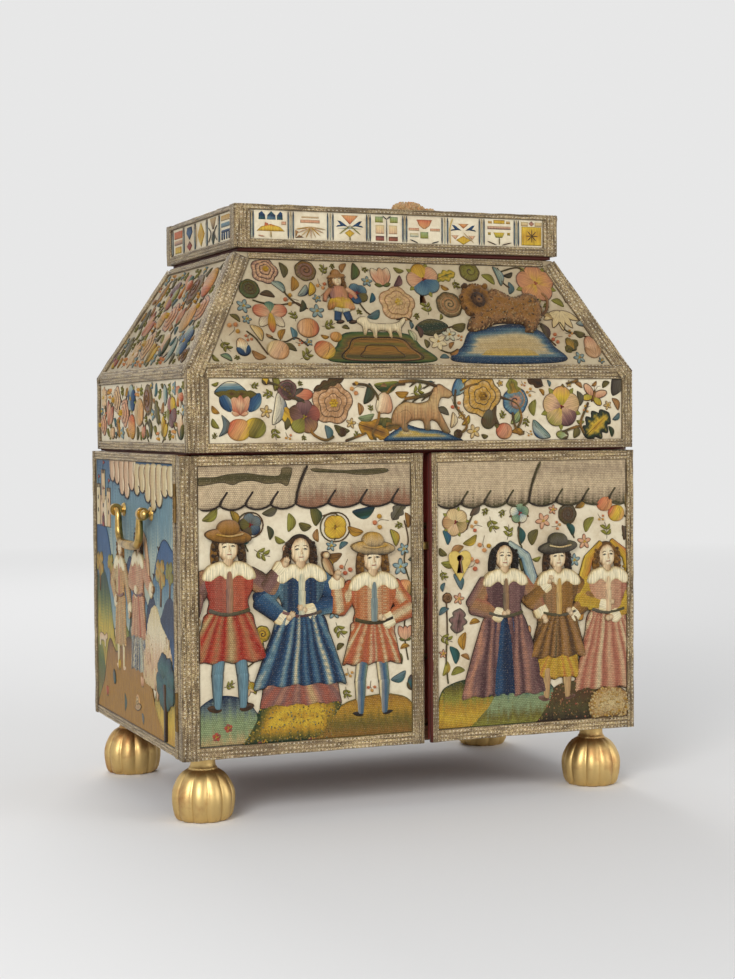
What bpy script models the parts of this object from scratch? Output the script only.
# Stumpwork casket: a cabinet box with two doors, drawers, a lifting upper section and a top lid.
# The frame is +Z up, the doors face -Y, and the origin is at the middle of the ground under the feet.

import math

import bmesh
import bpy
from mathutils import Matrix, Vector

# Driving sizes of the carcass
BODY_WIDTH = 0.280
BODY_DEPTH = 0.194
CARCASS_HEIGHT = 0.1655
CARCASS_WALL = 0.008
BASE_THICKNESS = 0.008
FOOT_HEIGHT = 0.036

# Layers on the outside: satin glued on the wood, braid over the satin's edges
BRAID_THICKNESS = 0.0010
SATIN_THICKNESS = 0.0006
LAYER_GAP = 0.0003
BRAID_EDGE_ROUNDING = 0.0008

# Widths of the braid on the carcass
SIDE_BRAID_WIDTH = 0.0055
SIDE_BRAID_TOP = 0.0050
SIDE_BRAID_BOTTOM = 0.0050
BACK_BRAID_WIDTH = 0.0070

# Doors
DOOR_THICKNESS = 0.008
DOOR_SEAM = 0.0015
DOOR_GAP = 0.0042
DOOR_GAP_OFFSET = 0.0049
DOOR_HINGE_INSET = 0.0004
DOOR_TOP_CLEARANCE = 0.0006
DOOR_BRAID_TOP = 0.0056
DOOR_BRAID_BOTTOM = 0.0070
LEFT_DOOR_BRAID_OUTER = 0.0100
LEFT_DOOR_BRAID_INNER = 0.0075
RIGHT_DOOR_BRAID_INNER = 0.0042
RIGHT_DOOR_BRAID_OUTER = 0.0048

# Well under the upper section
WELL_DEPTH = 0.0365
WELL_FLOOR_THICKNESS = 0.004
WELL_RAIL_THICKNESS = 0.0055
WELL_DIVIDER_THICKNESS = 0.0025
WELL_DIVIDER_HEIGHT = 0.026
WELL_CROSS_OFFSET = 0.040
WELL_LONG_OFFSET = 0.016

# Nest of drawers behind the doors
NEST_SETBACK = 0.006
NEST_BACK_ROOM = 0.022
NEST_SHELF = 0.0025
NEST_FRAME = 0.003
NEST_PILASTER = 0.010
NEST_POST = 0.0060
NEST_BACK = 0.0025
DRAWER_CLEARANCE = 0.0005
DRAWER_WALL = 0.0025
DRAWER_FRONT = 0.0040
DRAWER_BACK_ROOM = 0.0095
DRAWER_SIDE_DROP = 0.004
DRAWER_ROWS = 3
KNOB_RADIUS = 0.0032
KNOB_LENGTH = 0.0042
KNOB_NECK_RADIUS = 0.0013
KNOB_LENGTH_SHARES = (0.35, 0.62, 0.88)
KNOB_TOP_RADIUS_SHARE = 0.85

# Frieze and slope of the upper section
UPPER_SEAM = 0.0012
UPPER_WIDTH = 0.273
UPPER_OVERHANG = 0.004
FRIEZE_HEIGHT = 0.045
SLOPE_HEIGHT = 0.0658
SLOPE_TOP_WIDTH = 0.2005
SLOPE_FRONT_INSET = 0.029
SLOPE_BACK_INSET = 0.037
UPPER_WALL = 0.0058
CORNER_BRAID_WIDTH = 0.0125
SIDE_CORNER_BRAID_WIDTH = 0.0060
FRIEZE_BRAID_TOP = 0.0050
FRIEZE_BRAID_BOTTOM = 0.0050
SLOPE_BRAID_BOTTOM = 0.0038
SLOPE_BRAID_TOP = 0.0040
HIP_BRAID_WIDTH = 0.0105
SIDE_HIP_BRAID_WIDTH = 0.0095

# Top lid
LID_SEAM = 0.0023
LID_WIDTH = 0.201
LID_FRONT_OVERHANG = 0.0035
LID_HEIGHT = 0.024
LID_WALL = 0.005
LID_TOP_THICKNESS = 0.005
LID_BRAID_TOP = 0.0030
LID_BRAID_BOTTOM = 0.0050
LID_CORNER_BRAID = 0.0095
LID_TOP_BRAID = 0.0085
MIRROR_THICKNESS = 0.002
MIRROR_MARGIN = 0.012

# Tray under the top lid
TRAY_DEPTH = 0.038
TRAY_WALL = 0.0022
TRAY_GAP = 0.0006
TRAY_FLANGE = 0.0010
TRAY_FLANGE_WIDTH = 0.0045

# Hinges: two leaves on a pin
HINGE_LENGTH = 0.021
HINGE_BARREL_RADIUS = 0.0013
HINGE_PIN_RADIUS = 0.0006
HINGE_PIN_CLEARANCE = 0.00025
HINGE_KNUCKLE_GAP = 0.0003
HINGE_LEAF_THICKNESS = 0.0007
HINGE_LEAF_WIDTH = 0.0062
HINGE_LEAF_SINK = 0.0003
HINGE_CLEARANCE = 0.0004
DOOR_HINGE_INSET_Z = 0.026
UPPER_HINGE_INSET = 0.055
LID_HINGE_INSET = 0.04225

# Side bail handles
BAIL_WIRE_RADIUS = 0.0016
BAIL_GRIP_SHARE = 1.35
BAIL_BEND_SHARE = 1.6
BAIL_STANDOFF = 0.0042
BAIL_FORWARD = 0.0065
BAIL_EYE_SPACING = 0.060
BAIL_ARM_INSET = 0.0066
BAIL_FOOT_HALF = 0.0220
BAIL_DROP = 0.0190
BAIL_CORNER = 0.0085
BAIL_Z_FROM_TOP = 0.0340
BAIL_KNOB_RADIUS = 0.0027
BAIL_KNOB_CLEARANCE = 0.0004
POST_RADIUS = 0.0020
POST_EYE_RADIUS = 0.0037
POST_EYE_WIDTH = 0.0036
POST_ROSETTE_RADIUS = 0.0042
POST_ROSETTE_THICKNESS = 0.0012
POST_ROSETTE_TAPER_SHARE = 0.8
POST_TANG_LENGTH = 0.0040
EYE_CLEARANCE = 0.0003

# Lock of the right door
HEART_WIDTH = 0.0140
HEART_HEIGHT = 0.0178
HEART_THICKNESS = 0.0012
HEART_SHOULDER_SHARE = 0.47
HEART_CLEFT_DEGREES = 30
HEART_EDGE_ROUNDING = 0.0003
HEART_FROM_EDGE = 0.0185
HEART_FROM_TOP = 0.0655
KEYHOLE_RADIUS = 0.0021
KEYHOLE_SLOT = 0.0085
KEYHOLE_SLOT_TOP_WIDTH = 0.0020
KEYHOLE_SLOT_FOOT_WIDTH = 0.0044
LOCK_CASE_WIDTH = 0.026
LOCK_CASE_HEIGHT = 0.025
LOCK_CASE_DEPTH = 0.0042
LOCK_CASE_WALL = 0.0007
LOCK_CASE_FROM_EDGE = 0.0035
BOLT_HEIGHT = 0.0044
BOLT_THICKNESS = 0.0020
BOLT_LENGTH = 0.0150
BOLT_TIP_GAP = 0.0004
BOLT_FROM_TOP = 0.0535
BOLT_CLEARANCE = 0.0003
BOLT_EDGE_ROUNDING = 0.0003
SLOPE_KEYHOLE_X = 0.0100
SLOPE_KEYHOLE_HEIGHT = 0.0415
SLOPE_KEYHOLE_LENGTH = 0.0075

# Bun feet
FOOT_INSET_X = 0.0180
FOOT_INSET_Y = 0.0215
FOOT_RADIUS = 0.0178
FOOT_NECK_RADIUS = 0.0070
FOOT_COLLAR_RADIUS = 0.0088
FOOT_TENON_RADIUS = 0.0045
FOOT_TENON_LENGTH = 0.0055
FOOT_LOBES = 11
FOOT_LOBE_DEPTH_SHARE = 0.10
FOOT_STEPS_PER_LOBE = 4
FOOT_PROFILE_SHARES = (
    (0.78, 0.00), (0.87, 0.03), (0.955, 0.17), (1.00, 0.37), (0.975, 0.51), (0.885, 0.65),
    (0.71, 0.775), (0.50, 0.855), (0.40, 0.89),
)

# One overrun for every cut, and the distance that welds points
CUT_OVERRUN = 0.004
WELD_DISTANCE = 0.00001

# Places worked out from the sizes above
BASE_Z = FOOT_HEIGHT
CARCASS_TOP_Z = BASE_Z + CARCASS_HEIGHT
UPPER_Z = CARCASS_TOP_Z + UPPER_SEAM
FRIEZE_TOP_Z = UPPER_Z + FRIEZE_HEIGHT
SLOPE_TOP_Z = FRIEZE_TOP_Z + SLOPE_HEIGHT
LID_Z = SLOPE_TOP_Z + LID_SEAM
LID_TOP_Z = LID_Z + LID_HEIGHT
HALF_WIDTH = BODY_WIDTH / 2
OVERALL_DEPTH = UPPER_OVERHANG + BODY_DEPTH + HINGE_BARREL_RADIUS
FRONT_Y = -OVERALL_DEPTH / 2 + UPPER_OVERHANG
BACK_Y = FRONT_Y + BODY_DEPTH
BODY_MIDDLE_Y = (FRONT_Y + BACK_Y) / 2
DOOR_BACK_Y = FRONT_Y + DOOR_THICKNESS
CARCASS_FRONT_Y = DOOR_BACK_Y + DOOR_SEAM
SKIN = BRAID_THICKNESS + LAYER_GAP
COVER = SKIN + SATIN_THICKNESS + LAYER_GAP
UPPER_FRONT_Y = FRONT_Y - UPPER_OVERHANG
SLOPE_TOP_FRONT_Y = UPPER_FRONT_Y + SLOPE_FRONT_INSET
SLOPE_TOP_BACK_Y = BACK_Y - SLOPE_BACK_INSET
LID_FRONT_Y = SLOPE_TOP_FRONT_Y - LID_FRONT_OVERHANG
LID_BACK_Y = SLOPE_TOP_BACK_Y
LEFT_DOOR_EDGE_X = DOOR_GAP_OFFSET - DOOR_GAP / 2
RIGHT_DOOR_EDGE_X = DOOR_GAP_OFFSET + DOOR_GAP / 2
WELL_FLOOR_TOP_Z = CARCASS_TOP_Z - WELL_DEPTH
WELL_FLOOR_Z = WELL_FLOOR_TOP_Z - WELL_FLOOR_THICKNESS
BASE_TOP_Z = BASE_Z + BASE_THICKNESS
NEST_Z = BASE_TOP_Z + LAYER_GAP
NEST_TOP_Z = WELL_FLOOR_Z - LAYER_GAP
NEST_FRONT_Y = DOOR_BACK_Y + NEST_SETBACK
NEST_HALF = HALF_WIDTH - CARCASS_WALL - LAYER_GAP
NEST_DEPTH = BACK_Y - CARCASS_WALL - NEST_BACK_ROOM - NEST_FRONT_Y
DRAWER_DEPTH = NEST_DEPTH - NEST_BACK - DRAWER_BACK_ROOM
UPPER_HINGE_X = HALF_WIDTH - UPPER_HINGE_INSET
LID_HINGE_X = SLOPE_TOP_WIDTH / 2 - LID_HINGE_INSET
BAIL_Y = BODY_MIDDLE_Y - BAIL_FORWARD
BAIL_Z = CARCASS_TOP_Z - BAIL_Z_FROM_TOP
BOLT_Z = CARCASS_TOP_Z - BOLT_FROM_TOP

# Colours: base colour, roughness, metallic
FINISHES = {
    "oak": ((0.36, 0.20, 0.10, 1.0), 0.60, 0.0),
    "red_lining": ((0.38, 0.06, 0.05, 1.0), 0.75, 0.0),
    "satin": ((0.78, 0.71, 0.58, 1.0), 0.50, 0.0),
    "gilt_braid": ((0.42, 0.34, 0.22, 1.0), 0.55, 0.35),
    "gilt_wood": ((0.72, 0.50, 0.18, 1.0), 0.32, 0.90),
    "brass": ((0.70, 0.55, 0.25, 1.0), 0.30, 0.95),
    "iron": ((0.30, 0.28, 0.26, 1.0), 0.45, 0.85),
    "looking_glass": ((0.80, 0.82, 0.82, 1.0), 0.06, 1.0),
}

model = None
cutters = None


# Collections, materials and small helpers
def start_empty():
    """Remove the scene's objects and make the two collections."""
    global model, cutters
    for old in list(bpy.data.objects):
        bpy.data.objects.remove(old, do_unlink=True)
    model = bpy.data.collections.new("stumpwork_casket")
    cutters = bpy.data.collections.new("cutters")
    bpy.context.scene.collection.children.link(model)
    bpy.context.scene.collection.children.link(cutters)


def make_material(slot):
    """Return the Principled material of one finish."""
    found = bpy.data.materials.get(slot)
    if found:
        return found
    colour, roughness, metallic = FINISHES[slot]
    material = bpy.data.materials.new(slot)
    material.use_nodes = True
    shader = material.node_tree.nodes["Principled BSDF"]
    shader.inputs["Base Color"].default_value = colour
    shader.inputs["Roughness"].default_value = roughness
    shader.inputs["Metallic"].default_value = metallic
    material.diffuse_color = colour
    return material


def add_object(name, mesh, slot=None):
    """Link a mesh as a part, or as a cutter where no finish is given."""
    thing = bpy.data.objects.new(name, mesh)
    if slot:
        model.objects.link(thing)
        mesh.materials.append(make_material(slot))
    else:
        cutters.objects.link(thing)
        thing.hide_render = True
        thing.display_type = "WIRE"
    return thing


def mesh_from(shape, name):
    """Turn a bmesh into a mesh and free it."""
    bmesh.ops.recalc_face_normals(shape, faces=shape.faces)
    mesh = bpy.data.meshes.new(name)
    shape.to_mesh(mesh)
    shape.free()
    return mesh


def block(name, low, high, slot=None):
    """A box between two corners."""
    shape = bmesh.new()
    bmesh.ops.create_cube(shape, size=1.0)
    size = [b - a for a, b in zip(low, high)]
    middle = [(a + b) / 2 for a, b in zip(low, high)]
    bmesh.ops.scale(shape, vec=size, verts=shape.verts)
    bmesh.ops.translate(shape, vec=middle, verts=shape.verts)
    return add_object(name, mesh_from(shape, name), slot)


def cylinder(name, start, end, radius, slot=None, sides=16, end_radius=None):
    """A round bar or cone between two points."""
    start = Vector(start)
    end = Vector(end)
    along = end - start
    turn = along.to_track_quat("Z", "Y").to_matrix().to_4x4()
    place = Matrix.Translation((start + end) / 2) @ turn
    shape = bmesh.new()
    bmesh.ops.create_cone(
        shape, cap_ends=True, segments=sides, radius1=radius,
        radius2=radius if end_radius is None else end_radius, depth=along.length, matrix=place,
    )
    thing = add_object(name, mesh_from(shape, name), slot)
    smooth(thing)
    return thing


def ball(name, centre, radius, slot=None, segments=12, rings=8):
    """A sphere."""
    shape = bmesh.new()
    bmesh.ops.create_uvsphere(
        shape, u_segments=segments, v_segments=rings, radius=radius,
        matrix=Matrix.Translation(centre),
    )
    thing = add_object(name, mesh_from(shape, name), slot)
    smooth(thing)
    return thing


def prism(name, outline, axis, start, end, slot=None):
    """A flat outline pushed along an axis: outline points are in the plane across that axis."""
    shape = bmesh.new()
    corners = []
    for first, second in outline:
        if axis == "Y":
            corners.append(shape.verts.new((first, start, second)))
        elif axis == "X":
            corners.append(shape.verts.new((start, first, second)))
        else:
            corners.append(shape.verts.new((first, second, start)))
    face = shape.faces.new(corners)
    step = {"X": (end - start, 0, 0), "Y": (0, end - start, 0), "Z": (0, 0, end - start)}[axis]
    grown = bmesh.ops.extrude_face_region(shape, geom=[face])
    moved = [v for v in grown["geom"] if isinstance(v, bmesh.types.BMVert)]
    bmesh.ops.translate(shape, vec=step, verts=moved)
    return add_object(name, mesh_from(shape, name), slot)


def smooth(thing, degrees=40):
    """Smooth shading with sharp edges past an angle."""
    thing.data.shade_smooth()
    thing.data.set_sharp_from_angle(angle=math.radians(degrees))


def combine(thing, other, operation):
    """Put a Boolean with another object on a part."""
    change = thing.modifiers.new(operation.lower() + "_" + other.name, "BOOLEAN")
    change.operation = operation
    change.solver = "EXACT"
    change.object = other
    return thing


def cut(thing, *others):
    """Cut each of the others out of a part."""
    for other in others:
        combine(thing, other, "DIFFERENCE")
    return thing


def join(thing, *others):
    """Join each of the others to a part."""
    for other in others:
        combine(thing, other, "UNION")
    return thing


def soften(thing, width, segments=2, degrees=40):
    """Round the sharp edges of a part."""
    bevel = thing.modifiers.new("rounded_edges", "BEVEL")
    bevel.width = width
    bevel.segments = segments
    bevel.limit_method = "ANGLE"
    bevel.angle_limit = math.radians(degrees)
    return thing


# Hinges
def hinge_place(origin, along, into):
    """The frame of a hinge: X along its pin, Y into the parts, Z from the fixed to the moving leaf."""
    x_axis = Vector(along).normalized()
    y_axis = Vector(into).normalized()
    z_axis = x_axis.cross(y_axis)
    turn = Matrix((x_axis, y_axis, z_axis)).transposed().to_4x4()
    return Matrix.Translation(origin) @ turn


def placed(thing, place):
    """Move a hinge piece from the hinge's own frame to its place."""
    thing.data.transform(place)
    return thing


def leaf_start(seam):
    """Height of a leaf's inner face over the middle of the seam."""
    return seam / 2 + HINGE_LEAF_SINK - HINGE_LEAF_THICKNESS


def make_hinge(name, place, seam):
    """Two leaves with their knuckles; the fixed leaf carries the pin. Returns the cutters for the wood."""
    half = HINGE_LENGTH / 2
    inner = HINGE_LENGTH / 6
    low = leaf_start(seam)
    high = low + HINGE_LEAF_THICKNESS
    clear = HINGE_BARREL_RADIUS + HINGE_CLEARANCE
    reach = clear + HINGE_LEAF_WIDTH

    moving = block(name + "_moving_leaf", (-half, clear, low), (half, reach, high), "brass")
    tongue = block(
        name + "_tongue", (-inner + HINGE_KNUCKLE_GAP, HINGE_BARREL_RADIUS / 4, low),
        (inner - HINGE_KNUCKLE_GAP, clear + HINGE_LEAF_THICKNESS, high),
    )
    knuckle = cylinder(
        name + "_knuckle", (-inner + HINGE_KNUCKLE_GAP, 0, 0), (inner - HINGE_KNUCKLE_GAP, 0, 0),
        HINGE_BARREL_RADIUS,
    )
    bore = cylinder(
        name + "_bore", (-half, 0, 0), (half, 0, 0), HINGE_PIN_RADIUS + HINGE_PIN_CLEARANCE, sides=12,
    )
    for piece in (moving, tongue, knuckle, bore):
        placed(piece, place)
    join(moving, tongue, knuckle)
    cut(moving, bore)

    fixed = block(name + "_fixed_leaf", (-half, clear, -high), (half, reach, -low), "brass")
    pin = cylinder(
        name + "_pin", (-half + LAYER_GAP, 0, 0), (half - LAYER_GAP, 0, 0), HINGE_PIN_RADIUS, sides=12,
    )
    placed(fixed, place)
    placed(pin, place)
    for side, sign in (("low", -1), ("high", 1)):
        outer_end = sign * half
        inner_end = sign * inner
        ends = sorted((outer_end, inner_end))
        wing = block(
            name + "_wing_" + side, (ends[0], HINGE_BARREL_RADIUS / 4, -high),
            (ends[1], clear + HINGE_LEAF_THICKNESS, -low),
        )
        outer_knuckle = cylinder(
            name + "_outer_knuckle_" + side, (inner_end, 0, 0), (outer_end, 0, 0), HINGE_BARREL_RADIUS,
        )
        placed(wing, place)
        placed(outer_knuckle, place)
        join(fixed, wing, outer_knuckle)
    join(fixed, pin)

    slack = HINGE_CLEARANCE
    barrel_cut = cylinder(
        name + "_barrel_cut", (-half - slack, 0, 0), (half + slack, 0, 0), HINGE_BARREL_RADIUS + slack,
    )
    moving_cut = block(
        name + "_moving_cut", (-half - slack, -CUT_OVERRUN, -slack),
        (half + slack, reach + slack, high + slack),
    )
    fixed_cut = block(
        name + "_fixed_cut", (-half - slack, -CUT_OVERRUN, -high - slack),
        (half + slack, reach + slack, slack),
    )
    for piece in (barrel_cut, moving_cut, fixed_cut):
        placed(piece, place)
    return {"barrel": barrel_cut, "moving": moving_cut, "fixed": fixed_cut}


# Carcass
def build_carcass(hinge_cuts):
    """Boards, satin and braid of the lower box."""
    wood_x = HALF_WIDTH - COVER
    inner_x = HALF_WIDTH - CARCASS_WALL
    wood_back_y = BACK_Y - SKIN
    base = block("base_board", (-wood_x, CARCASS_FRONT_Y, BASE_Z), (wood_x, wood_back_y, BASE_TOP_Z), "oak")
    for foot_x, foot_y in foot_places():
        hole = cylinder(
            f"tenon_hole_{foot_x:.3f}_{foot_y:.3f}", (foot_x, foot_y, BASE_Z - CUT_OVERRUN),
            (foot_x, foot_y, BASE_Z + FOOT_TENON_LENGTH + LAYER_GAP), FOOT_TENON_RADIUS + LAYER_GAP,
        )
        cut(base, hole)

    boards_z = BASE_TOP_Z + LAYER_GAP
    sides = {}
    for side, sign in (("left", -1), ("right", 1)):
        ends = sorted((sign * wood_x, sign * inner_x))
        board = block(
            f"side_board_{side}", (ends[0], CARCASS_FRONT_Y, boards_z),
            (ends[1], wood_back_y, CARCASS_TOP_Z), "oak",
        )
        skin_ends = sorted((sign * (HALF_WIDTH - SKIN), sign * (HALF_WIDTH - SKIN - SATIN_THICKNESS)))
        satin = block(
            f"side_satin_{side}", (skin_ends[0], CARCASS_FRONT_Y, BASE_Z),
            (skin_ends[1], wood_back_y, CARCASS_TOP_Z), "satin",
        )
        sides[side] = (board, satin)
        for hinge in hinge_cuts[side]:
            cut(board, hinge["barrel"], hinge["fixed"])
            cut(satin, hinge["barrel"], hinge["fixed"])

    back = block(
        "back_board", (-inner_x + LAYER_GAP, BACK_Y - CARCASS_WALL, boards_z),
        (inner_x - LAYER_GAP, wood_back_y, CARCASS_TOP_Z), "oak",
    )
    for hinge in hinge_cuts["upper"]:
        cut(back, hinge["barrel"], hinge["fixed"])

    rail_back_y = CARCASS_FRONT_Y + WELL_RAIL_THICKNESS
    block(
        "well_front_rail", (-inner_x + LAYER_GAP, CARCASS_FRONT_Y, WELL_FLOOR_Z),
        (inner_x - LAYER_GAP, rail_back_y, CARCASS_TOP_Z), "red_lining",
    )
    floor_back_y = BACK_Y - CARCASS_WALL - LAYER_GAP
    block(
        "well_floor", (-inner_x + LAYER_GAP, rail_back_y + LAYER_GAP, WELL_FLOOR_Z),
        (inner_x - LAYER_GAP, floor_back_y, WELL_FLOOR_TOP_Z), "red_lining",
    )
    build_divider(inner_x - LAYER_GAP, rail_back_y + LAYER_GAP, floor_back_y)
    return sides


def build_divider(reach_x, front_y, back_y):
    """The egg-crate divider of the well: one long board and one cross board, halved together."""
    low_z = WELL_FLOOR_TOP_Z + LAYER_GAP
    high_z = low_z + WELL_DIVIDER_HEIGHT
    half = WELL_DIVIDER_THICKNESS / 2
    divider = block(
        "well_divider", (-reach_x, BODY_MIDDLE_Y + WELL_LONG_OFFSET - half, low_z),
        (reach_x, BODY_MIDDLE_Y + WELL_LONG_OFFSET + half, high_z), "red_lining",
    )
    cross = block(
        "divider_cross", (-WELL_CROSS_OFFSET - half, front_y, low_z),
        (-WELL_CROSS_OFFSET + half, back_y, high_z),
    )
    join(divider, cross)


def build_carcass_braid(hinge_cuts):
    """A sleeve of braid round three sides, open at the front, with a window for each panel."""
    braid = block(
        "carcass_braid", (-HALF_WIDTH, CARCASS_FRONT_Y, BASE_Z),
        (HALF_WIDTH, BACK_Y, CARCASS_TOP_Z), "gilt_braid",
    )
    soften(braid, BRAID_EDGE_ROUNDING)
    inner_x = HALF_WIDTH - BRAID_THICKNESS
    inside = block(
        "carcass_braid_inside", (-inner_x, CARCASS_FRONT_Y - CUT_OVERRUN, BASE_Z - CUT_OVERRUN),
        (inner_x, BACK_Y - BRAID_THICKNESS, CARCASS_TOP_Z + CUT_OVERRUN),
    )
    window_low_z = BASE_Z + SIDE_BRAID_BOTTOM
    window_high_z = CARCASS_TOP_Z - SIDE_BRAID_TOP
    side_window = block(
        "side_window", (-HALF_WIDTH - CUT_OVERRUN, CARCASS_FRONT_Y + SIDE_BRAID_WIDTH, window_low_z),
        (HALF_WIDTH + CUT_OVERRUN, BACK_Y - SIDE_BRAID_WIDTH, window_high_z),
    )
    back_window = block(
        "back_window", (-HALF_WIDTH + BACK_BRAID_WIDTH, BODY_MIDDLE_Y, window_low_z),
        (HALF_WIDTH - BACK_BRAID_WIDTH, BACK_Y + CUT_OVERRUN, window_high_z),
    )
    cut(braid, inside, side_window, back_window)
    for side in ("left", "right"):
        for hinge in hinge_cuts[side]:
            cut(braid, hinge["barrel"], hinge["fixed"])
    for hinge in hinge_cuts["upper"]:
        cut(braid, hinge["barrel"], hinge["fixed"])


# Doors
def build_door(side, edge_x, braid_outer, braid_inner, hinges):
    """One door: board, satin and the braid that wraps its edges. Returns them."""
    sign = -1 if side == "left" else 1
    hinge_x = sign * (HALF_WIDTH - DOOR_HINGE_INSET)
    low_x, high_x = sorted((hinge_x, edge_x))
    low_z = BASE_Z
    high_z = CARCASS_TOP_Z - DOOR_TOP_CLEARANCE
    inset = SKIN
    board = block(
        f"{side}_door_board", (low_x + inset, FRONT_Y + COVER, low_z + inset),
        (high_x - inset, DOOR_BACK_Y, high_z - inset), "oak",
    )
    satin = block(
        f"{side}_door_satin", (low_x + inset, FRONT_Y + SKIN, low_z + inset),
        (high_x - inset, FRONT_Y + SKIN + SATIN_THICKNESS, high_z - inset), "satin",
    )
    braid = block(f"{side}_door_braid", (low_x, FRONT_Y, low_z), (high_x, DOOR_BACK_Y, high_z), "gilt_braid")
    soften(braid, BRAID_EDGE_ROUNDING)
    pocket = block(
        f"{side}_door_pocket",
        (low_x + BRAID_THICKNESS, FRONT_Y + BRAID_THICKNESS, low_z + BRAID_THICKNESS),
        (high_x - BRAID_THICKNESS, DOOR_BACK_Y + CUT_OVERRUN, high_z - BRAID_THICKNESS),
    )
    margins = (braid_outer, braid_inner) if side == "left" else (braid_inner, braid_outer)
    window = block(
        f"{side}_door_window", (low_x + margins[0], FRONT_Y - CUT_OVERRUN, low_z + DOOR_BRAID_BOTTOM),
        (high_x - margins[1], DOOR_BACK_Y, high_z - DOOR_BRAID_TOP),
    )
    cut(braid, pocket, window)
    for hinge in hinges:
        for piece in (board, braid):
            cut(piece, hinge["barrel"], hinge["moving"])
    return board, satin, braid


# Lock of the right door
def heart_outline(middle_x, middle_z):
    """A heart: two round lobes that cross in an open cleft, and a point below."""
    points = []
    steps = 9
    cleft = math.radians(HEART_CLEFT_DEGREES)
    lobe = HEART_WIDTH / (2 * (1 + math.cos(cleft)))
    offset = lobe * math.cos(cleft)
    lobe_z = middle_z + HEART_HEIGHT / 2 - lobe
    for step in range(steps):
        angle = (math.pi - cleft) * step / (steps - 1)
        points.append((middle_x + offset + lobe * math.cos(angle), lobe_z + lobe * math.sin(angle)))
    for step in range(1, steps):
        angle = cleft + (math.pi - cleft) * step / (steps - 1)
        points.append((middle_x - offset + lobe * math.cos(angle), lobe_z + lobe * math.sin(angle)))
    shoulder_z = lobe_z - HEART_HEIGHT / 5
    shoulder_x = HEART_WIDTH * HEART_SHOULDER_SHARE
    points.append((middle_x - shoulder_x, shoulder_z))
    points.append((middle_x, middle_z - HEART_HEIGHT / 2))
    points.append((middle_x + shoulder_x, shoulder_z))
    return points


def keyhole_outline(middle_x, top_z):
    """A round hole with a slot that widens to its foot."""
    points = []
    steps = 9
    centre_z = top_z - KEYHOLE_RADIUS
    gap = math.asin(KEYHOLE_SLOT_TOP_WIDTH / 2 / KEYHOLE_RADIUS)
    for step in range(steps):
        angle = -math.pi / 2 + gap + (2 * math.pi - 2 * gap) * step / (steps - 1)
        x = middle_x + KEYHOLE_RADIUS * math.cos(angle)
        points.append((x, centre_z + KEYHOLE_RADIUS * math.sin(angle)))
    foot_z = centre_z - KEYHOLE_SLOT
    points.append((middle_x - KEYHOLE_SLOT_FOOT_WIDTH / 2, foot_z))
    points.append((middle_x + KEYHOLE_SLOT_FOOT_WIDTH / 2, foot_z))
    return points


def build_lock(board, satin, braid):
    """Heart plate, lock case let into the door, and the bolt that shoots from the door's edge."""
    heart_x = RIGHT_DOOR_EDGE_X + HEART_FROM_EDGE
    heart_z = CARCASS_TOP_Z - HEART_FROM_TOP
    plate_back_y = FRONT_Y + SKIN - LAYER_GAP
    plate = prism(
        "heart_lock_plate", heart_outline(heart_x, heart_z), "Y", plate_back_y - HEART_THICKNESS,
        plate_back_y, "brass",
    )
    soften(plate, HEART_EDGE_ROUNDING, 1, 60)
    keyhole_top_z = heart_z + HEART_HEIGHT / 2 - HEART_WIDTH / 6
    keyhole = prism(
        "door_keyhole", keyhole_outline(heart_x, keyhole_top_z), "Y", FRONT_Y - CUT_OVERRUN,
        DOOR_BACK_Y - LOCK_CASE_DEPTH + LOCK_CASE_WALL + CUT_OVERRUN / 4,
    )
    cut(plate, keyhole)

    case_low_x = RIGHT_DOOR_EDGE_X + LOCK_CASE_FROM_EDGE
    case_high_x = case_low_x + LOCK_CASE_WIDTH
    case_high_z = BOLT_Z + BOLT_HEIGHT
    case_low_z = case_high_z - LOCK_CASE_HEIGHT
    case_front_y = DOOR_BACK_Y - LOCK_CASE_DEPTH
    case = block(
        "lock_case", (case_low_x, case_front_y, case_low_z), (case_high_x, DOOR_BACK_Y, case_high_z), "iron",
    )
    wall = LOCK_CASE_WALL
    hollow = block(
        "lock_hollow", (case_low_x + wall, case_front_y + wall, case_low_z + wall),
        (case_high_x - wall, DOOR_BACK_Y + CUT_OVERRUN, case_high_z - wall),
    )
    bolt_y = case_front_y + wall + BOLT_CLEARANCE + BOLT_THICKNESS / 2
    reach = BOLT_THICKNESS / 2
    bolt_tip_x = LEFT_DOOR_EDGE_X + BOLT_TIP_GAP
    bolt = block(
        "lock_bolt", (bolt_tip_x, bolt_y - reach, BOLT_Z - BOLT_HEIGHT / 2),
        (bolt_tip_x + BOLT_LENGTH, bolt_y + reach, BOLT_Z + BOLT_HEIGHT / 2), "iron",
    )
    soften(bolt, BOLT_EDGE_ROUNDING, 1)
    slack = BOLT_CLEARANCE
    bolt_way = block(
        "bolt_way",
        (RIGHT_DOOR_EDGE_X - CUT_OVERRUN, bolt_y - reach - slack, BOLT_Z - BOLT_HEIGHT / 2 - slack),
        (case_low_x + wall * 2, bolt_y + reach + slack, BOLT_Z + BOLT_HEIGHT / 2 + slack),
    )
    case_cut = block(
        "case_cut", (case_low_x - LAYER_GAP, case_front_y - LAYER_GAP, case_low_z - LAYER_GAP),
        (case_high_x + LAYER_GAP, DOOR_BACK_Y + CUT_OVERRUN, case_high_z + LAYER_GAP),
    )
    cut(case, hollow, bolt_way, keyhole)
    cut(board, case_cut, bolt_way, keyhole)
    cut(satin, keyhole)
    cut(braid, bolt_way)


# Nest of drawers
def nest_columns():
    """The two columns of drawers, each behind its own door: name, low x and high x of its cells."""
    post_low = DOOR_GAP_OFFSET - NEST_POST / 2
    post_high = DOOR_GAP_OFFSET + NEST_POST / 2
    outer = NEST_HALF - NEST_PILASTER
    return (("left", -outer, post_low), ("right", post_high, outer))


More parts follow.
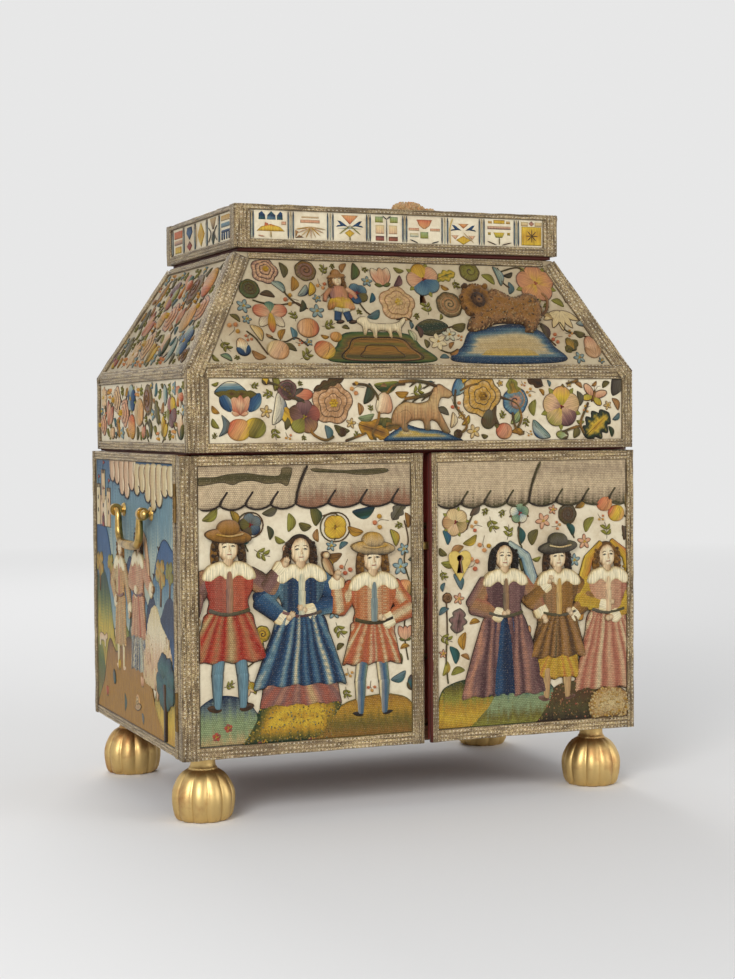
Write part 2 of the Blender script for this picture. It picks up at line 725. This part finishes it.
def nest_rows():
    """Low and high z of the rows of cells, bottom row first."""
    room = NEST_TOP_Z - NEST_Z - 2 * NEST_FRAME - (DRAWER_ROWS - 1) * NEST_SHELF
    height = room / DRAWER_ROWS
    rows = []
    for row in range(DRAWER_ROWS):
        low = NEST_Z + NEST_FRAME + row * (height + NEST_SHELF)
        rows.append((low, low + height))
    return rows


def build_nest():
    """The fixed case with its cells, and a drawer in each."""
    back_y = NEST_FRONT_Y + NEST_DEPTH
    nest = block("drawer_nest", (-NEST_HALF, NEST_FRONT_Y, NEST_Z), (NEST_HALF, back_y, NEST_TOP_Z), "oak")
    for column, low_x, high_x in nest_columns():
        for row, (low_z, high_z) in enumerate(nest_rows()):
            cell = block(
                f"cell_{column}_{row}", (low_x, NEST_FRONT_Y - CUT_OVERRUN, low_z),
                (high_x, back_y - NEST_BACK, high_z),
            )
            cut(nest, cell)
            build_drawer(column, row, (low_x, high_x), (low_z, high_z))


def build_drawer(column, row, span_x, span_z):
    """An open box with a knob on its front."""
    gap = DRAWER_CLEARANCE
    low = (span_x[0] + gap, NEST_FRONT_Y, span_z[0] + LAYER_GAP)
    high = (span_x[1] - gap, NEST_FRONT_Y + DRAWER_DEPTH, span_z[1] - gap)
    drawer = block(f"drawer_{column}_{row + 1}", low, high, "red_lining")
    inside = block(
        f"drawer_inside_{column}_{row}",
        (low[0] + DRAWER_WALL, low[1] + DRAWER_FRONT, low[2] + DRAWER_WALL),
        (high[0] - DRAWER_WALL, high[1] - DRAWER_WALL, high[2] + CUT_OVERRUN),
    )
    lowered = block(
        f"drawer_lowered_{column}_{row}",
        (low[0] - CUT_OVERRUN, low[1] + DRAWER_FRONT, high[2] - DRAWER_SIDE_DROP),
        (high[0] + CUT_OVERRUN, high[1] + CUT_OVERRUN, high[2] + CUT_OVERRUN),
    )
    cut(drawer, inside, lowered)
    neck_end, widest, shoulder = [KNOB_LENGTH * share for share in KNOB_LENGTH_SHARES]
    knob = turned(
        f"knob_{column}_{row}",
        ((KNOB_NECK_RADIUS, -DRAWER_FRONT / 2), (KNOB_NECK_RADIUS, neck_end), (KNOB_RADIUS, widest),
         (KNOB_RADIUS * KNOB_TOP_RADIUS_SHARE, shoulder), (0, KNOB_LENGTH)),
        12,
    )
    middle_x = (low[0] + high[0]) / 2
    middle_z = (low[2] + high[2]) / 2
    place = Matrix.Translation((middle_x, low[1], middle_z)) @ Matrix.Rotation(math.pi / 2, 4, "X")
    placed(knob, place)
    join(drawer, knob)


def turned(name, profile, sides, slot=None):
    """A closed turned shape about Z from points (radius, height) going up, applied as a mesh."""
    shape = bmesh.new()
    points = [(0.0, profile[0][1])] + list(profile)
    if points[-1][0] > 0:
        points.append((0.0, points[-1][1]))
    previous = None
    for radius, height in reversed(points):
        vertex = shape.verts.new((radius, 0, height))
        if previous:
            shape.edges.new((previous, vertex))
        previous = vertex
    mesh = bpy.data.meshes.new(name)
    shape.to_mesh(mesh)
    shape.free()
    thing = add_object(name + "_profile", mesh)
    screw = thing.modifiers.new("turned", "SCREW")
    screw.steps = sides
    screw.render_steps = sides
    screw.use_merge_vertices = True
    screw.merge_threshold = WELD_DISTANCE
    evaluated = thing.evaluated_get(bpy.context.evaluated_depsgraph_get())
    solid = bpy.data.meshes.new_from_object(evaluated)
    bpy.data.objects.remove(thing, do_unlink=True)
    shape = bmesh.new()
    shape.from_mesh(solid)
    bmesh.ops.remove_doubles(shape, verts=shape.verts, dist=WELD_DISTANCE)
    bmesh.ops.recalc_face_normals(shape, faces=shape.faces)
    shape.to_mesh(solid)
    shape.free()
    result = add_object(name, solid, slot)
    smooth(result)
    return result


# Feet
def foot_places():
    """The four feet, under the corners of the base."""
    x = HALF_WIDTH - FOOT_INSET_X
    front = FRONT_Y + FOOT_INSET_Y
    rear = BACK_Y - FOOT_INSET_Y
    return [(-x, front), (x, front), (-x, rear), (x, rear)]


def build_feet():
    """Melon-lobed bun feet with a flared neck and a tenon that goes into the base."""
    names = ("front_left", "front_right", "rear_left", "rear_right")
    neck_z = FOOT_HEIGHT - LAYER_GAP
    profile = [(FOOT_RADIUS * share, FOOT_HEIGHT * height) for share, height in FOOT_PROFILE_SHARES]
    lobes_top_z = profile[-1][1]
    profile.append((FOOT_COLLAR_RADIUS, neck_z))
    profile.append((FOOT_TENON_RADIUS, neck_z))
    profile.append((FOOT_TENON_RADIUS, FOOT_HEIGHT + FOOT_TENON_LENGTH))
    for name, (x, y) in zip(names, foot_places()):
        foot = turned("foot_" + name, profile, FOOT_LOBES * FOOT_STEPS_PER_LOBE, "gilt_wood")
        for vertex in foot.data.vertices:
            radius = math.hypot(vertex.co.x, vertex.co.y)
            if radius <= FOOT_NECK_RADIUS or vertex.co.z > lobes_top_z + WELD_DISTANCE:
                continue
            angle = math.atan2(vertex.co.y, vertex.co.x)
            crest = abs(math.sin(angle * FOOT_LOBES / 2))
            swell = (radius - FOOT_NECK_RADIUS) / (FOOT_RADIUS - FOOT_NECK_RADIUS)
            share = 1 - FOOT_LOBE_DEPTH_SHARE * swell * (1 - crest)
            vertex.co.x *= share
            vertex.co.y *= share
        foot.data.transform(Matrix.Translation((x, y, 0)))


# Upper section
def upper_section(name, depth, low_z, high_z, slot=None):
    """The frieze box with its sloping top, taken in by a depth on every side; open limits for a cutter."""
    run_x = (UPPER_WIDTH - SLOPE_TOP_WIDTH) / 2
    lean_x = math.hypot(run_x, SLOPE_HEIGHT) / SLOPE_HEIGHT
    lean_front = math.hypot(SLOPE_FRONT_INSET, SLOPE_HEIGHT) / SLOPE_HEIGHT
    lean_back = math.hypot(SLOPE_BACK_INSET, SLOPE_HEIGHT) / SLOPE_HEIGHT
    crease_x = UPPER_WIDTH / 2 - depth
    crease_z = FRIEZE_TOP_Z - depth * (lean_x - 1) * SLOPE_HEIGHT / run_x
    front_y = UPPER_FRONT_Y + depth
    back_y = BACK_Y - depth
    top_x = SLOPE_TOP_WIDTH / 2 - depth * lean_x
    top_front = SLOPE_TOP_FRONT_Y + depth * lean_front
    top_back = SLOPE_TOP_BACK_Y - depth * lean_back
    rise = (high_z - crease_z) / (SLOPE_TOP_Z - crease_z)

    shape = bmesh.new()
    bmesh.ops.create_cube(shape, size=1.0)
    for vertex in shape.verts:
        x = crease_x if vertex.co.x > 0 else -crease_x
        y = back_y if vertex.co.y > 0 else front_y
        z = crease_z if vertex.co.z > 0 else low_z
        vertex.co = (x, y, z)
    top = max(shape.faces, key=lambda face: face.calc_center_median().z)
    grown = bmesh.ops.extrude_face_region(shape, geom=[top])
    bmesh.ops.delete(shape, geom=[top], context="FACES_ONLY")
    for vertex in [v for v in grown["geom"] if isinstance(v, bmesh.types.BMVert)]:
        x = crease_x + (top_x - crease_x) * rise
        far = top_back if vertex.co.y > 0 else top_front
        near = back_y if vertex.co.y > 0 else front_y
        vertex.co = (x if vertex.co.x > 0 else -x, near + (far - near) * rise, high_z)
    return add_object(name, mesh_from(shape, name), slot)


def slope_window(name, axis, low_half, high_half, low_z, high_z, middle_low=0.0, middle_high=0.0):
    """A tapering window cut right through two opposite slopes."""
    outline = (
        (middle_low - low_half, low_z), (middle_low + low_half, low_z),
        (middle_high + high_half, high_z), (middle_high - high_half, high_z),
    )
    reach = BODY_WIDTH
    return prism(name, outline, axis, -reach, reach)


def slope_extent(z):
    """Half width, front y and back y of the slope's outer face at a height."""
    share = (z - FRIEZE_TOP_Z) / SLOPE_HEIGHT
    half = UPPER_WIDTH / 2 + (SLOPE_TOP_WIDTH - UPPER_WIDTH) / 2 * share
    return half, UPPER_FRONT_Y + SLOPE_FRONT_INSET * share, BACK_Y - SLOPE_BACK_INSET * share


def build_upper(upper_hinges, lid_hinges):
    """Wooden shell, satin skin, cage of braid and the tray."""
    shell = upper_section("upper_shell", COVER, UPPER_Z, SLOPE_TOP_Z, "oak")
    room = upper_section("upper_room", COVER + UPPER_WALL, UPPER_Z - CUT_OVERRUN, SLOPE_TOP_Z + CUT_OVERRUN)
    satin = upper_section("upper_satin", SKIN, UPPER_Z, SLOPE_TOP_Z, "satin")
    satin_room = upper_section(
        "satin_room", SKIN + SATIN_THICKNESS, UPPER_Z - CUT_OVERRUN, SLOPE_TOP_Z + CUT_OVERRUN,
    )
    braid = upper_section("upper_braid", 0.0, UPPER_Z, SLOPE_TOP_Z, "gilt_braid")
    soften(braid, BRAID_EDGE_ROUNDING, 2, 8)
    braid_room = upper_section(
        "braid_room", BRAID_THICKNESS, UPPER_Z - CUT_OVERRUN, SLOPE_TOP_Z + CUT_OVERRUN,
    )
    cut(shell, room)
    cut(satin, satin_room)
    cut(braid, braid_room)

    frieze_low_z = UPPER_Z + FRIEZE_BRAID_BOTTOM
    frieze_high_z = FRIEZE_TOP_Z - FRIEZE_BRAID_TOP
    half = UPPER_WIDTH / 2
    front_window = block(
        "frieze_front_window", (-half + CORNER_BRAID_WIDTH, UPPER_FRONT_Y - CUT_OVERRUN, frieze_low_z),
        (half - CORNER_BRAID_WIDTH, BACK_Y + CUT_OVERRUN, frieze_high_z),
    )
    side_window = block(
        "frieze_side_window", (-half - CUT_OVERRUN, UPPER_FRONT_Y + SIDE_CORNER_BRAID_WIDTH, frieze_low_z),
        (half + CUT_OVERRUN, BACK_Y - SIDE_CORNER_BRAID_WIDTH, frieze_high_z),
    )
    low_z = FRIEZE_TOP_Z + SLOPE_BRAID_BOTTOM
    high_z = SLOPE_TOP_Z - SLOPE_BRAID_TOP
    low_half, low_front, low_back = slope_extent(low_z)
    high_half, high_front, high_back = slope_extent(high_z)
    slope_front_window = slope_window(
        "slope_front_window", "Y", low_half - HIP_BRAID_WIDTH, high_half - HIP_BRAID_WIDTH, low_z, high_z,
    )
    slope_side_window = slope_window(
        "slope_side_window", "X", (low_back - low_front) / 2 - SIDE_HIP_BRAID_WIDTH,
        (high_back - high_front) / 2 - SIDE_HIP_BRAID_WIDTH, low_z, high_z,
        (low_back + low_front) / 2, (high_back + high_front) / 2,
    )
    cut(braid, front_window, side_window, slope_front_window, slope_side_window)

    keyhole_top_z = FRIEZE_TOP_Z + SLOPE_KEYHOLE_HEIGHT + SLOPE_KEYHOLE_LENGTH
    keyhole = prism(
        "slope_keyhole", keyhole_outline(SLOPE_KEYHOLE_X, keyhole_top_z),
        "Y", UPPER_FRONT_Y - CUT_OVERRUN, BODY_MIDDLE_Y,
    )
    cut(satin, keyhole)
    cut(shell, keyhole)
    for hinge in upper_hinges:
        for piece in (shell, satin, braid):
            cut(piece, hinge["barrel"], hinge["moving"])
    for hinge in lid_hinges:
        for piece in (shell, satin, braid):
            cut(piece, hinge["barrel"], hinge["fixed"])
    build_tray(lid_hinges)


def tray_room():
    """Half width, front y and back y of the space for the tray at the top of the shell."""
    run_x = (UPPER_WIDTH - SLOPE_TOP_WIDTH) / 2
    depth = COVER + UPPER_WALL
    half = SLOPE_TOP_WIDTH / 2 - depth * math.hypot(run_x, SLOPE_HEIGHT) / SLOPE_HEIGHT
    front = SLOPE_TOP_FRONT_Y + depth * math.hypot(SLOPE_FRONT_INSET, SLOPE_HEIGHT) / SLOPE_HEIGHT
    back = SLOPE_TOP_BACK_Y - depth * math.hypot(SLOPE_BACK_INSET, SLOPE_HEIGHT) / SLOPE_HEIGHT
    return half, front, back


def build_tray(lid_hinges):
    """A shallow tray let into the top of the upper section; its flange rests on the shell's rim."""
    half, front, back = tray_room()
    half -= TRAY_GAP
    front += TRAY_GAP
    back -= TRAY_GAP
    flange_z = SLOPE_TOP_Z + LAYER_GAP
    top_z = flange_z + TRAY_FLANGE
    tray = block("lid_tray", (-half, front, SLOPE_TOP_Z - TRAY_DEPTH), (half, back, top_z), "red_lining")
    flange = block(
        "tray_flange", (-half - TRAY_FLANGE_WIDTH, front - TRAY_FLANGE_WIDTH, flange_z),
        (half + TRAY_FLANGE_WIDTH, back, top_z),
    )
    hollow = block(
        "tray_hollow", (-half + TRAY_WALL, front + TRAY_WALL, SLOPE_TOP_Z - TRAY_DEPTH + TRAY_WALL),
        (half - TRAY_WALL, back - TRAY_WALL, top_z + CUT_OVERRUN),
    )
    join(tray, flange)
    cut(tray, hollow)
    for hinge in lid_hinges:
        cut(tray, hinge["fixed"], hinge["moving"])


# Top lid
def build_lid(lid_hinges):
    """A shallow box lid: wood, satin cap, cage of braid and a looking glass inside."""
    half = LID_WIDTH / 2
    wood = block(
        "lid_box", (-half + COVER, LID_FRONT_Y + COVER, LID_Z),
        (half - COVER, LID_BACK_Y - COVER, LID_TOP_Z - COVER),
        "oak",
    )
    wall = COVER + LID_WALL
    room = block(
        "lid_room", (-half + wall, LID_FRONT_Y + wall, LID_Z - CUT_OVERRUN),
        (half - wall, LID_BACK_Y - wall, LID_TOP_Z - COVER - LID_TOP_THICKNESS),
    )
    cut(wood, room)
    satin = block(
        "lid_satin", (-half + SKIN, LID_FRONT_Y + SKIN, LID_Z),
        (half - SKIN, LID_BACK_Y - SKIN, LID_TOP_Z - SKIN),
        "satin",
    )
    under = SKIN + SATIN_THICKNESS
    satin_room = block(
        "lid_satin_room", (-half + under, LID_FRONT_Y + under, LID_Z - CUT_OVERRUN),
        (half - under, LID_BACK_Y - under, LID_TOP_Z - under),
    )
    cut(satin, satin_room)
    braid = block("lid_braid", (-half, LID_FRONT_Y, LID_Z), (half, LID_BACK_Y, LID_TOP_Z), "gilt_braid")
    soften(braid, BRAID_EDGE_ROUNDING)
    braid_room = block(
        "lid_braid_room", (-half + BRAID_THICKNESS, LID_FRONT_Y + BRAID_THICKNESS, LID_Z - CUT_OVERRUN),
        (half - BRAID_THICKNESS, LID_BACK_Y - BRAID_THICKNESS, LID_TOP_Z - BRAID_THICKNESS),
    )
    low_z = LID_Z + LID_BRAID_BOTTOM
    high_z = LID_TOP_Z - LID_BRAID_TOP
    front_window = block(
        "lid_front_window", (-half + LID_CORNER_BRAID, LID_FRONT_Y - CUT_OVERRUN, low_z),
        (half - LID_CORNER_BRAID, LID_BACK_Y + CUT_OVERRUN, high_z),
    )
    side_window = block(
        "lid_side_window", (-half - CUT_OVERRUN, LID_FRONT_Y + LID_CORNER_BRAID, low_z),
        (half + CUT_OVERRUN, LID_BACK_Y - LID_CORNER_BRAID, high_z),
    )
    top_window = block(
        "lid_top_window", (-half + LID_TOP_BRAID, LID_FRONT_Y + LID_TOP_BRAID, high_z),
        (half - LID_TOP_BRAID, LID_BACK_Y - LID_TOP_BRAID, LID_TOP_Z + CUT_OVERRUN),
    )
    cut(braid, braid_room, front_window, side_window, top_window)
    for hinge in lid_hinges:
        for piece in (wood, satin, braid):
            cut(piece, hinge["barrel"], hinge["moving"])
    glass_z = LID_TOP_Z - COVER - LID_TOP_THICKNESS - LAYER_GAP
    margin = wall + MIRROR_MARGIN
    block(
        "looking_glass", (-half + margin, LID_FRONT_Y + margin, glass_z - MIRROR_THICKNESS),
        (half - margin, LID_BACK_Y - margin, glass_z), "looking_glass",
    )


# Bail handles
def build_bail(side, board, satin):
    """A drop handle on two eye posts, whose tangs go into the side board."""
    sign = -1 if side == "left" else 1
    face_x = sign * (HALF_WIDTH - SKIN + LAYER_GAP)
    pivot_x = sign * (HALF_WIDTH + BAIL_STANDOFF)
    tang_x = sign * (HALF_WIDTH - COVER - POST_TANG_LENGTH)
    for end, direction in (("front", -1), ("rear", 1)):
        eye_y = BAIL_Y + direction * BAIL_EYE_SPACING / 2
        post = cylinder(
            f"{side}_bail_post_{end}", (tang_x, eye_y, BAIL_Z),
            (pivot_x, eye_y, BAIL_Z), POST_RADIUS, "brass", 12,
        )
        rosette = cylinder(
            f"{side}_rosette_{end}", (face_x, eye_y, BAIL_Z),
            (face_x + sign * POST_ROSETTE_THICKNESS, eye_y, BAIL_Z),
            POST_ROSETTE_RADIUS, sides=20, end_radius=POST_ROSETTE_RADIUS * POST_ROSETTE_TAPER_SHARE,
        )
        eye = cylinder(
            f"{side}_eye_{end}", (pivot_x, eye_y - POST_EYE_WIDTH / 2, BAIL_Z),
            (pivot_x, eye_y + POST_EYE_WIDTH / 2, BAIL_Z), POST_EYE_RADIUS, sides=20,
        )
        eye_hole = cylinder(
            f"{side}_eye_hole_{end}", (pivot_x, eye_y - POST_EYE_WIDTH, BAIL_Z),
            (pivot_x, eye_y + POST_EYE_WIDTH, BAIL_Z), BAIL_WIRE_RADIUS + EYE_CLEARANCE, sides=16,
        )
        join(post, rosette, eye)
        cut(post, eye_hole)
        tang_hole = cylinder(
            f"{side}_tang_hole_{end}", (tang_x - sign * LAYER_GAP, eye_y, BAIL_Z), (pivot_x, eye_y, BAIL_Z),
            POST_RADIUS + LAYER_GAP, sides=12,
        )
        cut(board, tang_hole)
        cut(satin, tang_hole)
    bail_wire(side, pivot_x)


def bail_wire(side, pivot_x):
    """The U of the handle as one bent wire with a knob on each end."""
    eye_y = BAIL_EYE_SPACING / 2
    end_y = eye_y + POST_EYE_WIDTH / 2 + BAIL_KNOB_CLEARANCE + BAIL_KNOB_RADIUS
    arm_y = eye_y - BAIL_ARM_INSET
    bend = BAIL_WIRE_RADIUS * BAIL_BEND_SHARE
    low_z = BAIL_Z - BAIL_DROP
    half_route = [(end_y, BAIL_Z, 1), (eye_y, BAIL_Z, 1)]
    for step in range(5):
        angle = math.pi / 2 * step / 4
        half_route.append((arm_y + bend - bend * math.sin(angle), BAIL_Z - bend + bend * math.cos(angle), 1))
    for step in range(6):
        angle = math.pi / 2 * step / 5
        across = BAIL_FOOT_HALF - BAIL_CORNER + BAIL_CORNER * math.cos(angle)
        height = low_z + BAIL_CORNER - BAIL_CORNER * math.sin(angle)
        half_route.append((across, height, 1 + (BAIL_GRIP_SHARE - 1) * step / 5))
    route = half_route + [(-across, height, swell) for across, height, swell in reversed(half_route)]
    data = bpy.data.curves.new(f"{side}_bail_route", "CURVE")
    data.dimensions = "3D"
    data.bevel_depth = BAIL_WIRE_RADIUS
    data.bevel_resolution = 2
    data.use_fill_caps = True
    line = data.splines.new("POLY")
    line.points.add(len(route) - 1)
    for point, (across, height, swell) in zip(line.points, route):
        point.co = (pivot_x, BAIL_Y + across, height, 1)
        point.radius = swell
    guide = bpy.data.objects.new(f"{side}_bail_route", data)
    cutters.objects.link(guide)
    evaluated = guide.evaluated_get(bpy.context.evaluated_depsgraph_get())
    mesh = bpy.data.meshes.new_from_object(evaluated)
    bpy.data.objects.remove(guide, do_unlink=True)
    shape = bmesh.new()
    shape.from_mesh(mesh)
    bmesh.ops.remove_doubles(shape, verts=shape.verts, dist=WELD_DISTANCE)
    bmesh.ops.recalc_face_normals(shape, faces=shape.faces)
    shape.to_mesh(mesh)
    shape.free()
    bail = add_object(f"{side}_bail", mesh, "brass")
    smooth(bail)
    for name, across in (("front", -end_y), ("rear", end_y)):
        knob = ball(f"{side}_bail_knob_{name}", (pivot_x, BAIL_Y + across, BAIL_Z), BAIL_KNOB_RADIUS)
        join(bail, knob)


# Whole casket
def build_hinges():
    """All the hinges of the doors, the upper section and the top lid, with their cutters."""
    door_y = DOOR_BACK_Y + DOOR_SEAM / 2
    cuts = {"left": [], "right": [], "upper": [], "lid": []}
    levels = (("lower", BASE_Z + DOOR_HINGE_INSET_Z), ("upper", CARCASS_TOP_Z - DOOR_HINGE_INSET_Z))
    for side, sign in (("left", -1), ("right", 1)):
        for level, z in levels:
            place = hinge_place((sign * HALF_WIDTH, door_y, z), (0, 0, sign), (-sign, 0, 0))
            cuts[side].append(make_hinge(f"{side}_door_{level}_hinge", place, DOOR_SEAM))
    for side, sign in (("left", -1), ("right", 1)):
        middle_z = CARCASS_TOP_Z + UPPER_SEAM / 2
        place = hinge_place((sign * UPPER_HINGE_X, BACK_Y, middle_z), (-1, 0, 0), (0, -1, 0))
        cuts["upper"].append(make_hinge(f"upper_{side}_hinge", place, UPPER_SEAM))
        middle_z = SLOPE_TOP_Z + LID_SEAM / 2
        place = hinge_place((sign * LID_HINGE_X, LID_BACK_Y, middle_z), (-1, 0, 0), (0, -1, 0))
        cuts["lid"].append(make_hinge(f"lid_{side}_hinge", place, LID_SEAM))
    return cuts


def hang(pivot, *names):
    """Put the origin of each named part on the axis of its joint."""
    for name in names:
        thing = model.objects[name]
        thing.data.transform(Matrix.Translation(-Vector(pivot)))
        thing.location = pivot


def hang_moving_parts():
    """Doors, bolt, drawers, upper section, top lid and bails each turn or slide about their own origin."""
    door_y = DOOR_BACK_Y + DOOR_SEAM / 2
    for side, sign in (("left", -1), ("right", 1)):
        hang(
            (sign * HALF_WIDTH, door_y, BASE_Z), f"{side}_door_board", f"{side}_door_satin",
            f"{side}_door_braid", f"{side}_door_lower_hinge_moving_leaf",
            f"{side}_door_upper_hinge_moving_leaf",
        )
        hang((sign * (HALF_WIDTH + BAIL_STANDOFF), BAIL_Y, BAIL_Z), f"{side}_bail")
    hang((HALF_WIDTH, door_y, BASE_Z), "heart_lock_plate", "lock_case")
    hang((LEFT_DOOR_EDGE_X + BOLT_TIP_GAP, DOOR_BACK_Y, BOLT_Z), "lock_bolt")
    for column, low_x, high_x in nest_columns():
        for row, (low_z, high_z) in enumerate(nest_rows()):
            middle = ((low_x + high_x) / 2, NEST_FRONT_Y, (low_z + high_z) / 2)
            hang(middle, f"drawer_{column}_{row + 1}")
    hang(
        (0, BACK_Y, CARCASS_TOP_Z + UPPER_SEAM / 2), "upper_shell", "upper_satin", "upper_braid", "lid_tray",
        "upper_left_hinge_moving_leaf", "upper_right_hinge_moving_leaf", "lid_left_hinge_fixed_leaf",
        "lid_right_hinge_fixed_leaf",
    )
    hang(
        (0, LID_BACK_Y, SLOPE_TOP_Z + LID_SEAM / 2), "lid_box", "lid_satin", "lid_braid", "looking_glass",
        "lid_left_hinge_moving_leaf", "lid_right_hinge_moving_leaf",
    )


def main():
    """Build the whole casket."""
    start_empty()
    cuts = build_hinges()
    sides = build_carcass(cuts)
    build_carcass_braid(cuts)
    build_door("left", LEFT_DOOR_EDGE_X, LEFT_DOOR_BRAID_OUTER, LEFT_DOOR_BRAID_INNER, cuts["left"])
    right_door = build_door(
        "right", RIGHT_DOOR_EDGE_X, RIGHT_DOOR_BRAID_OUTER, RIGHT_DOOR_BRAID_INNER, cuts["right"],
    )
    build_lock(*right_door)
    build_nest()
    build_feet()
    build_upper(cuts["upper"], cuts["lid"])
    build_lid(cuts["lid"])
    for side in ("left", "right"):
        build_bail(side, *sides[side])
    hang_moving_parts()


main()
